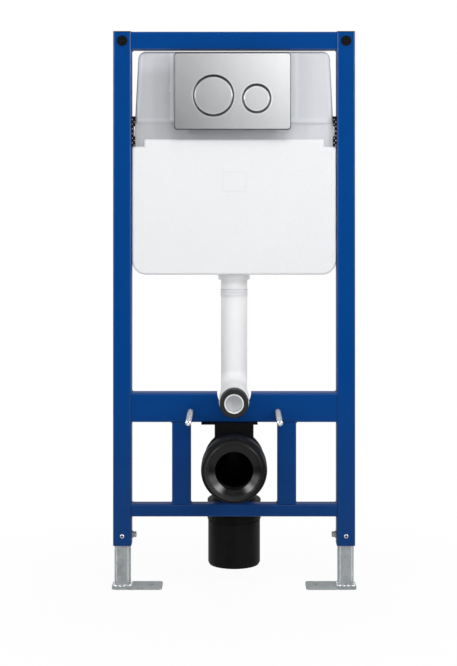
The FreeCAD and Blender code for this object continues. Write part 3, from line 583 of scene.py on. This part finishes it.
def threaded_rod_tree():
    """A rod along Z with a thread all over, chamfered and centre drilled ends."""
    bench, given = new_tree("threaded rod", {
        "Length": "NodeSocketFloat",
        "Radius": "NodeSocketFloat",
        "Pitch": "NodeSocketFloat",
        "Depth": "NodeSocketFloat",
        "Chamfer": "NodeSocketFloat",
        "Middle": "NodeSocketVector",
        "Turn": "NodeSocketRotation",
        "Material": "NodeSocketMaterial",
    })
    rod_length, radius = given["Length"], given["Radius"]
    rings_per_turn, corners, cap_rings, drill_share = 6.0, 30, 4, 0.45
    rod = bench.node("GeometryNodeMeshCylinder", {"fill_type": "TRIANGLE_FAN"}, {
        "Vertices": corners,
        "Side Segments": rod_length / given["Pitch"] * rings_per_turn,
        "Fill Segments": cap_rings,
        "Radius": radius,
        "Depth": rod_length,
    })
    x, y, z = bench.axes(bench.node("GeometryNodeInputPosition"))
    turn = (z / given["Pitch"] + x.math("ARCTAN2", y, x) / math.tau).fraction()
    ridge = abs(2.0 * turn - 1.0)
    to_end = 0.5 * rod_length - abs(z)
    bevel = given["Chamfer"] * (1.0 - (to_end / given["Chamfer"]).clamped())
    share = (radius - given["Depth"] * ridge - bevel) / radius
    out = ((x * x + y * y) ** 0.5) / radius
    drilled = (1.0 - out / drill_share).larger(0.0) * given["Chamfer"]
    drop = z.math("SIGN", z) * drilled
    moved = bench.node("ShaderNodeCombineXYZ", sockets={0: x * share, 1: y * share, 2: z - drop})
    shaped = bench.node("GeometryNodeSetPosition", sockets={"Geometry": rod, "Position": moved})
    smooth = bench.node("GeometryNodeSetShadeSmooth", sockets={"Geometry": shaped})
    placed = bench.node("GeometryNodeTransform", sockets={
        "Geometry": smooth, "Translation": given["Middle"], "Rotation": given["Turn"],
    })
    return close_tree(bench, placed, given["Material"])


def fitting_tree():
    """A fitting at each point of a mesh, its own Z turned along the point's aim."""
    bench, given = new_tree("fittings on points", {
        "Geometry": "NodeSocketGeometry",
        "Fitting": "NodeSocketObject",
        "Material": "NodeSocketMaterial",
    })
    source = bench.node(
        "GeometryNodeObjectInfo", sockets={"Object": given["Fitting"]}, output="Geometry"
    )
    aim = bench.node(
        "GeometryNodeInputNamedAttribute", {"data_type": "FLOAT_VECTOR"}, {"Name": "aim"}
    )
    turn = bench.node("FunctionNodeAlignRotationToVector", {"axis": "Z"}, {"Vector": aim})
    points = bench.node("GeometryNodeMeshToPoints", sockets={0: given["Geometry"]})
    placed = bench.node("GeometryNodeInstanceOnPoints", sockets={
        "Points": points, "Instance": source, "Rotation": turn,
    })
    return close_tree(bench, placed, given["Material"])


def weld_tree():
    """Weld beads along the edges of a mesh, each a flattened drop of its own size."""
    bench, given = new_tree("weld beads", {
        "Geometry": "NodeSocketGeometry",
        "Radius": "NodeSocketFloat",
        "Step": "NodeSocketFloat",
        "Seed": "NodeSocketInt",
        "Material": "NodeSocketMaterial",
    })
    line = bench.node("GeometryNodeMeshToCurve", sockets={0: given["Geometry"]})
    points = bench.node(
        "GeometryNodeCurveToPoints", {"mode": "LENGTH"}, {"Curve": line, "Length": given["Step"]}
    )
    drop = bench.node(
        "GeometryNodeMeshIcoSphere", sockets={"Radius": given["Radius"], "Subdivisions": 2}
    )
    smooth = bench.node("GeometryNodeSetShadeSmooth", sockets={"Geometry": drop})
    smallest, largest = (0.8, 0.8, 0.7), (1.15, 1.15, 1.0)
    size = bench.node(
        "FunctionNodeRandomValue",
        {"data_type": "FLOAT_VECTOR"},
        {"Min": smallest, "Max": largest, "Seed": given["Seed"]},
    )
    placed = bench.node("GeometryNodeInstanceOnPoints", sockets={
        "Points": points, "Instance": smooth, "Scale": size,
    })
    return close_tree(bench, placed, given["Material"])


def grow(name, base, tree, body, slot, **inputs):
    """Run a tree on a base mesh and keep the result as a plain piece that rides on a body."""
    piece = bpy.data.objects.new(name, base or bpy.data.meshes.new(name))
    bpy.context.scene.collection.objects.link(piece)
    rule = piece.modifiers.new("rule", "NODES")
    rule.node_group = tree
    inputs["Material"] = finish_of(slot)
    for item in tree.interface.items_tree:
        if item.in_out == "INPUT" and item.name in inputs:
            rule[item.identifier] = inputs[item.name]
    evaluated = piece.evaluated_get(bpy.context.evaluated_depsgraph_get())
    grown = bpy.data.meshes.new_from_object(evaluated)
    if not grown.polygons:
        raise RuntimeError(f"{name} grew no faces")
    piece.modifiers.clear()
    piece.data = grown
    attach(piece, body)
    return piece


def points_mesh(name, places, aims):
    """Loose points that carry the direction in which a fitting faces."""
    mesh = bpy.data.meshes.new(name)
    mesh.from_pydata([tuple(place) for place in places], [], [])
    mesh.attributes.new("aim", "FLOAT_VECTOR", "POINT").data.foreach_set(
        "vector", [number for aim in aims for number in aim]
    )
    return mesh


def lines_mesh(name, lines):
    """Loose edges, one for each pair of ends."""
    mesh = bpy.data.meshes.new(name)
    ends = [tuple(end) for line in lines for end in line]
    mesh.from_pydata(ends, [(i, i + 1) for i in range(0, len(ends), 2)], [])
    return mesh


def turned_pattern(name, profile, corners=48):
    """Turn steps of radius and height about Z. A step with a width across flats is a hexagon."""
    mesh = bmesh.new()
    rings = []
    for radius, height, *flats in profile:
        ring = []
        for i in range(corners):
            angle = math.tau * i / corners
            in_flat = angle % (math.tau / 6) - math.tau / 12
            reach = min([radius, *(width / 2 / math.cos(in_flat) for width in flats)])
            ring.append(mesh.verts.new((reach * math.cos(angle), reach * math.sin(angle), height)))
        rings.append(ring)
    for low, high in zip(rings, rings[1:]):
        for i in range(corners):
            j = (i + 1) % corners
            mesh.faces.new((low[i], low[j], high[j], high[i]))
    mesh.faces.new(rings[-1])
    mesh.faces.new(list(reversed(rings[0])))
    return pattern_object(name, mesh)


def pattern_object(name, mesh):
    """Close a mesh as the unlinked pattern of a fitting, smooth but for its sharp edges."""
    sharp_angle = math.radians(35)
    bmesh.ops.recalc_face_normals(mesh, faces=mesh.faces)
    for face in mesh.faces:
        face.smooth = True
    data = bpy.data.meshes.new(name)
    mesh.to_mesh(data)
    mesh.free()
    data.set_sharp_from_angle(angle=sharp_angle)
    return bpy.data.objects.new(name, data)


def hexagon(width, low, high):
    """The profile steps of a chamfered hexagon from one height to another."""
    least_bevel = 0.0003
    corner = width / 2 / math.cos(math.pi / 6)
    bevel = 0.35 * (corner - width / 2) + least_bevel
    face = 0.94 * width / 2
    return [(face, low), (corner, low + bevel, width), (corner, high - bevel, width), (face, high)]


def washer(radius, low, high):
    """The profile steps of a round washer with broken edges."""
    edge = 0.2 * (high - low)
    inner = radius - edge
    return [(inner, low), (radius, low + edge), (radius, high - edge), (inner, high)]


def rib_pattern(width, rise, proud):
    """A small moulded rib along Y with rounded ends and edges, standing up along Z."""
    mesh = bmesh.new()
    bmesh.ops.create_cube(mesh, size=1.0)
    for vertex in mesh.verts:
        vertex.co = (vertex.co.x * width, vertex.co.y * rise, (vertex.co.z + 0.5) * proud)
    upper = [edge for edge in mesh.edges if all(vertex.co.z > 0.0 for vertex in edge.verts)]
    bmesh.ops.bevel(
        mesh, geom=upper, offset=0.4 * min(width, proud), segments=3, affect="EDGES", profile=0.5
    )
    return pattern_object("rib_pattern", mesh)


def set_fittings(name, pattern, places, aims, slot):
    """Put a copy of a pattern at each place on the frame, facing its aim, and drop the pattern."""
    tree = bpy.data.node_groups.get("fittings on points") or fitting_tree()
    grow(name, points_mesh(name, places, aims), tree, "frame", slot, Fitting=pattern)
    bpy.data.objects.remove(pattern)


class TOILETFRAME_OT_coat_pieces(bpy.types.Operator):
    """Give every CAD piece the finish of its material slot"""

    bl_idname = "toiletframe.coat_pieces"
    bl_label = "Coat the pieces"

    def execute(self, context):
        for piece in frame["record"]["subparts"]:
            materials = frame["nodes"][piece["node"]].data.materials
            materials.clear()
            materials.append(finish_of(piece["material_slot"]))
        return {"FINISHED"}


class TOILETFRAME_OT_thread_studs(bpy.types.Operator):
    """Thread the pan studs, and put a washer and a nut on each behind the middle rail"""

    bl_idname = "toiletframe.thread_studs"
    bl_label = "Thread the pan studs"

    def execute(self, context):
        sizes = context.scene.fitting_sizes
        rod = threaded_rod_tree()
        back_of_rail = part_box("mid_rail")[1].y
        places = []
        for side in ("left", "right"):
            low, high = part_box(f"{side}_pan_stud")
            middle = (low + high) / 2
            places.append((middle.x, back_of_rail, middle.z))
            thread = grow(
                f"{side}_stud_thread", None, rod, "frame", "zinc_stud",
                Length=high.y - low.y, Radius=(high.z - low.z) / 2, Pitch=sizes.thread_pitch,
                Depth=sizes.thread_depth, Chamfer=sizes.stud_chamfer, Middle=middle,
                Turn=(math.pi / 2, 0.0, 0.0),
            )
            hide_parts(f"{side}_pan_stud")
        top = sizes.washer_height + sizes.nut_height
        nut = turned_pattern("nut_pattern", [
            *washer(sizes.washer_radius, 0.0, sizes.washer_height),
            *hexagon(sizes.nut_width, sizes.washer_height, top),
        ])
        set_fittings("stud_nuts", nut, places, [BACKWARDS] * 2, "zinc_stud")
        return {"FINISHED"}


class TOILETFRAME_OT_fit_leg_screws(bpy.types.Operator):
    """Put the clamp screw in front of each leg and the bolt beside it"""

    bl_idname = "toiletframe.fit_leg_screws"
    bl_label = "Fit the leg screws"

    def execute(self, context):
        sizes = context.scene.fitting_sizes
        uprights = [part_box("left_upright"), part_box("right_upright")]
        fronts = [
            ((low.x + high.x) / 2, low.y, low.z + sizes.clamp_screw_rise) for low, high in uprights
        ]
        radius, head = sizes.clamp_screw_radius, sizes.clamp_screw_head
        socket = 0.58 * radius
        screw = turned_pattern("clamp_screw_pattern", [
            (radius, 0.0),
            (radius, 0.4 * head),
            (0.86 * radius, 0.85 * head),
            (0.66 * radius, head),
            (socket / math.cos(math.pi / 6), head, 2 * socket),
            (socket / math.cos(math.pi / 6), -1.5 * head, 2 * socket),
        ])
        set_fittings("clamp_screws", screw, fronts, [FORWARDS] * 2, "zinc_stud")

        inner_faces = (uprights[0][1].x, uprights[1][0].x)
        middle = (uprights[0][0].y + uprights[0][1].y) / 2
        height = uprights[0][0].z + sizes.side_bolt_rise
        seat, top = sizes.side_bolt_nut, sizes.side_bolt_nut + sizes.side_bolt_head
        head_gap = 0.0006
        bolt = turned_pattern("side_bolt_pattern", [
            *hexagon(sizes.side_bolt_width, 0.0, seat),
            *hexagon(0.8 * sizes.side_bolt_width, seat + head_gap, top),
        ])
        set_fittings(
            "side_bolts", bolt, [(x, middle, height) for x in inner_faces],
            [TO_RIGHT, TO_LEFT], "galvanised_steel",
        )
        return {"FINISHED"}


class TOILETFRAME_OT_fit_plugs(bpy.types.Operator):
    """Put a dust plug in the bush of each wall fixing and in the flush outlet"""

    bl_idname = "toiletframe.fit_plugs"
    bl_label = "Fit the dust plugs"

    def execute(self, context):
        sizes = context.scene.fitting_sizes
        radius, recess = sizes.plug_radius, sizes.plug_recess
        bushes = [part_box("left_wall_bush"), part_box("right_wall_bush")]
        places = [
            ((low.x + high.x) / 2, low.y + recess, (low.z + high.z) / 2) for low, high in bushes
        ]
        plug = turned_pattern("plug_pattern", [
            (radius, -recess),
            (radius, 0.0),
            (0.86 * radius, 0.15 * radius),
            (0.60 * radius, 0.08 * radius),
            (0.30 * radius, 0.20 * radius),
        ])
        set_fittings("wall_plugs", plug, places, [FORWARDS] * 2, "black_plastic")

        low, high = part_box("flush_insert")
        outlet = ((low.x + high.x) / 2, low.y + sizes.flush_plug_recess, (low.z + high.z) / 2)
        radius = sizes.flush_plug_radius
        cup = turned_pattern("flush_plug_pattern", [
            (radius, -0.15 * radius),
            (radius, 0.0),
            (0.94 * radius, 0.04 * radius),
            (0.84 * radius, 0.0),
            (0.40 * radius, -0.03 * radius),
        ])
        set_fittings("flush_plug", cup, [outlet], [FORWARDS], "tank_plastic")
        return {"FINISHED"}


class TOILETFRAME_OT_lay_welds(bpy.types.Operator):
    """Lay the weld beads at the ends of the rails and struts and round the legs"""

    bl_idname = "toiletframe.lay_welds"
    bl_label = "Lay the welds"

    def execute(self, context):
        sizes = context.scene.fitting_sizes
        beads, frame_seed, foot_seed = weld_tree(), 4, 11
        seams = lines_mesh("frame_weld_lines", rail_seams())
        grow(
            "frame_welds", seams, beads, "frame", "frame_blue",
            Radius=sizes.weld_radius, Step=sizes.weld_step, Seed=frame_seed,
        )
        for seed, side in enumerate(("left", "right"), start=foot_seed):
            seams = lines_mesh(f"{side}_foot_weld_lines", foot_seams(side))
            grow(
                f"{side}_foot_welds", seams, beads, f"{side}_foot", "zinc_stud",
                Radius=sizes.foot_weld_radius, Step=sizes.foot_weld_step, Seed=seed,
            )
        return {"FINISHED"}


def rail_seams():
    """Where rails meet uprights and struts meet rails: short lines from front to back."""
    joints = []
    for rail, levels in (("top_rail", (0,)), ("mid_rail", (0, 1)), ("lower_rail", (0, 1))):
        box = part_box(rail)
        joints += [(box, side, level) for side in (0, 1) for level in levels]
    for strut in ("left_strut", "right_strut"):
        joints += [(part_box(strut), side, level) for side in (0, 1) for level in (0, 1)]
    rounding = 0.004
    lines = []
    for box, side, level in joints:
        x, z = box[side].x, box[level].z
        lines.append(((x, box[0].y + rounding, z), (x, box[1].y - rounding, z)))
    return lines


def foot_seams(side):
    """The four lines where a leg stands on its foot plate."""
    low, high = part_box(f"{side}_leg")
    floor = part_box(f"{side}_foot_plate")[1].z
    rounding = 0.003
    left, right = low.x + rounding, high.x - rounding
    front, back = low.y + rounding, high.y - rounding
    across = [((left, y, floor), (right, y, floor)) for y in (low.y, high.y)]
    along = [((x, front, floor), (x, back, floor)) for x in (low.x, high.x)]
    return across + along


class TOILETFRAME_OT_detail_cistern(bpy.types.Operator):
    """Add the teeth of the tank clips and the small ribs under the seam of the cistern"""

    bl_idname = "toiletframe.detail_cistern"
    bl_label = "Detail the cistern"

    def execute(self, context):
        sizes = context.scene.fitting_sizes
        places = []
        for side in ("left", "right"):
            low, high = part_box(f"{side}_tank_clip")
            count = int((high.z - low.z) / sizes.tooth_step)
            for i in range(count):
                height = low.z + (i + 0.5) * sizes.tooth_step
                inset = 0.25 if i % 2 else 0.75
                places.append((low.x + inset * (high.x - low.x), low.y, height))
        radius = sizes.tooth_radius
        tooth = turned_pattern("tooth_pattern", [
            (radius, 0.0),
            (0.92 * radius, 0.38 * radius),
            (0.70 * radius, 0.70 * radius),
            (0.30 * radius, 0.90 * radius),
        ], corners=12)
        set_fittings("clip_teeth", tooth, places, [FORWARDS] * len(places), "tank_plastic")

        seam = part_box("cistern_base_shell")[1].z
        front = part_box("cistern_top_shell")[0].y
        rib_reach, rib_drop, rib_width, rib_proud = 0.150, 0.003, 0.0022, 0.0012
        height = seam - rib_drop - sizes.rib_height / 2
        ribs = [(sign * rib_reach, front, height) for sign in (-1, 1)]
        pattern = rib_pattern(rib_width, sizes.rib_height, rib_proud)
        set_fittings("cistern_ribs", pattern, ribs, [FORWARDS] * 2, "tank_plastic")
        return {"FINISHED"}


AIM = Vector((0.0, 0.0, 0.62))
WHITE = (1.0, 1.0, 1.0, 1.0)
# Name, place, size, power, and whether shiny pieces mirror it.
SOFT_LIGHTS = (
    ("front_softbox", (0.30, -1.65, 2.25), (1.3, 0.9), 18.0, False),
    ("fill_softbox", (0.0, -3.2, 0.9), (0.8, 0.8), 9.0, False),
    ("right_softbox", (1.9, -1.7, 1.6), (0.3, 0.8), 19.0, True),
    ("left_softbox", (-1.9, -1.7, 1.6), (0.3, 0.8), 14.0, True),
    ("back_softbox", (0.4, 2.8, 1.6), (1.6, 1.6), 24.0, False),
)


def make_soft_light(name, place, size, power, mirrored):
    """A softbox that faces the object. One that isn't mirrored lights without a glare."""
    data = bpy.data.lights.new(name, "AREA")
    data.shape = "RECTANGLE"
    data.size, data.size_y = size
    data.energy = power
    light = bpy.data.objects.new(name, data)
    light.location = place
    light.rotation_euler = (AIM - Vector(place)).to_track_quat("-Z", "Y").to_euler()
    light.visible_glossy = mirrored
    bpy.context.scene.collection.objects.link(light)


def make_floor():
    """A pale floor that stays white to the eye, and keeps the object's shadow near the object."""
    reach, drop = 3.0, 0.0003
    shadow_share, shadow_start, shadow_end = 0.05, 0.2, 0.9
    mesh = bpy.data.meshes.new("floor")
    signs = ((-1, -1), (1, -1), (1, 1), (-1, 1))
    mesh.from_pydata([(i * reach, j * reach, -drop) for i, j in signs], [], [(0, 1, 2, 3)])
    floor = bpy.data.objects.new("floor", mesh)
    bpy.context.scene.collection.objects.link(floor)
    material = bpy.data.materials.new("pale_floor")
    material.use_nodes = True
    material.node_tree.nodes.clear()
    bench = Bench(material.node_tree)
    x, y, _ = bench.axes(bench.place())
    near = 1.0 - ((x * x + y * y) ** 0.5).ramp(shadow_start, shadow_end)
    white = bench.node("ShaderNodeEmission", sockets={"Color": WHITE, "Strength": 1.0})
    matt = bench.node("ShaderNodeBsdfDiffuse", sockets={"Color": (0.80, 0.80, 0.80, 1.0)})
    seen = seen_rays(bench) * (1.0 - shadow_share * near)
    mixed = bench.node("ShaderNodeMixShader", sockets={0: seen, 1: matt, 2: white})
    bench.node("ShaderNodeOutputMaterial", sockets={"Surface": mixed})
    mesh.materials.append(material)
    floor.visible_glossy = False


def seen_rays(bench):
    """1 for rays that show things: straight to the eye, mirrored or through something clear."""
    path = bench.node("ShaderNodeLightPath", output="Is Camera Ray")
    return (path + path.other("Is Glossy Ray") + path.other("Is Transmission Ray")).smaller(1.0)


def window(value, start, full, fading, end):
    """Rise smoothly to 1 between two values, and fall to 0 between two more."""
    return value.ramp(start, full) * (1.0 - value.ramp(fading, end))


def mirrored_room(x, y, z):
    """What shiny pieces mirror: a panel in front, walls, a lamp high on each side, and glows."""
    dim, brightest, back, wall, lamp, above, below = 0.08, 1.3, 0.58, 3.0, 10.0, 0.4, 0.45
    middle, to_right, upwards, twist, level = 0.66, 1.75, 1.2, 3.2, 0.05
    forwards, sideways, down = -1.0 * y, abs(x), -1.0 * z
    slope = middle + to_right * x + upwards * z + twist * x * (z - level)
    in_front = dim + (slope.clamped(dim, brightest) - dim) * forwards.ramp(0.72, 0.94)
    panels = in_front + (back - in_front) * y.ramp(0.1, 0.6)
    low_band = z.ramp(-0.15, 0.10) * (1.0 - 0.6 * z.ramp(0.12, 0.30))
    walls = wall * sideways.ramp(0.42, 0.62) * low_band
    spot = window(sideways, 0.39, 0.45, 0.60, 0.66) * window(z, 0.27, 0.34, 0.50, 0.58)
    lamps = lamp * spot * forwards.ramp(0.5, 0.6)
    glows = above * z.ramp(0.55, 0.80) + below * down.ramp(0.20, 0.45)
    return panels.larger(walls + lamps).larger(glows)


def make_surround():
    """A surround that is white to the eye, an even light, and a room of its own in mirrors."""
    ambient = 0.41
    world = bpy.data.worlds.new("studio")
    bpy.context.scene.world = world
    world.use_nodes = True
    world.node_tree.nodes.clear()
    bench = Bench(world.node_tree)
    mirrored = mirrored_room(*bench.axes(bench.node("ShaderNodeTexCoord", output="Generated")))
    camera = bench.node("ShaderNodeLightPath", output="Is Camera Ray")
    seen = seen_rays(bench)
    strength = camera + (seen - camera) * mirrored + (1.0 - seen) * ambient
    glow = bench.node("ShaderNodeBackground", sockets={"Color": WHITE, "Strength": strength})
    bench.node("ShaderNodeOutputWorld", sockets={"Surface": glow})


def make_camera():
    """A long level lens at cistern height, shifted down to the object as in the photograph."""
    distance, height, focal_pixels = 3.05, 0.83, 1479.0
    eye_column, eye_row = 234.1, 186.2
    data = bpy.data.cameras.new("camera")
    data.sensor_width = 36.0
    data.lens = data.sensor_width * focal_pixels / PHOTO_HEIGHT
    data.shift_x = (PHOTO_WIDTH / 2 - eye_column) / PHOTO_HEIGHT
    data.shift_y = (eye_row - PHOTO_HEIGHT / 2) / PHOTO_HEIGHT
    camera = bpy.data.objects.new("camera", data)
    camera.location = (0.0, -distance, height)
    camera.rotation_euler = (math.pi / 2, 0.0, 0.0)
    bpy.context.scene.collection.objects.link(camera)
    bpy.context.scene.camera = camera


class TOILETFRAME_OT_set_stage(bpy.types.Operator):
    """Set the floor, the soft lights, the white surround and the camera"""

    bl_idname = "toiletframe.set_stage"
    bl_label = "Set the stage"

    def execute(self, context):
        context.scene.view_settings.view_transform = "Standard"
        make_floor()
        make_surround()
        for light in SOFT_LIGHTS:
            make_soft_light(*light)
        make_camera()
        return {"FINISHED"}


STEPS = (
    TOILETFRAME_OT_coat_pieces,
    TOILETFRAME_OT_thread_studs,
    TOILETFRAME_OT_fit_leg_screws,
    TOILETFRAME_OT_fit_plugs,
    TOILETFRAME_OT_lay_welds,
    TOILETFRAME_OT_detail_cistern,
    TOILETFRAME_OT_set_stage,
)


class TOILETFRAME_PT_sidebar(bpy.types.Panel):
    """Lists the steps that dress the frame, with its sizes and colours"""

    bl_idname = "TOILETFRAME_PT_sidebar"
    bl_label = "Toilet frame"
    bl_space_type = "VIEW_3D"
    bl_region_type = "UI"
    bl_category = "Toilet frame"

    def draw(self, context):
        for step in STEPS:
            self.layout.operator(step.bl_idname)
        for group in (context.scene.fitting_sizes, context.scene.finish_colours):
            column = self.layout.column(align=True)
            for name in group.__annotations__:
                column.prop(group, name)


CLASSES = (FittingSizes, FinishColours, *STEPS, TOILETFRAME_PT_sidebar)


def register():
    for cls in CLASSES:
        bpy.utils.register_class(cls)
    bpy.types.Scene.fitting_sizes = PointerProperty(type=FittingSizes)
    bpy.types.Scene.finish_colours = PointerProperty(type=FinishColours)


def unregister():
    del bpy.types.Scene.finish_colours
    del bpy.types.Scene.fitting_sizes
    for cls in reversed(CLASSES):
        bpy.utils.unregister_class(cls)


def main():
    """Dress the frame step by step."""
    register()
    bpy.ops.toiletframe.coat_pieces()
    bpy.ops.toiletframe.thread_studs()
    bpy.ops.toiletframe.fit_leg_screws()
    bpy.ops.toiletframe.fit_plugs()
    bpy.ops.toiletframe.lay_welds()
    bpy.ops.toiletframe.detail_cistern()
    bpy.ops.toiletframe.set_stage()


if __name__ == "__main__":
    main()
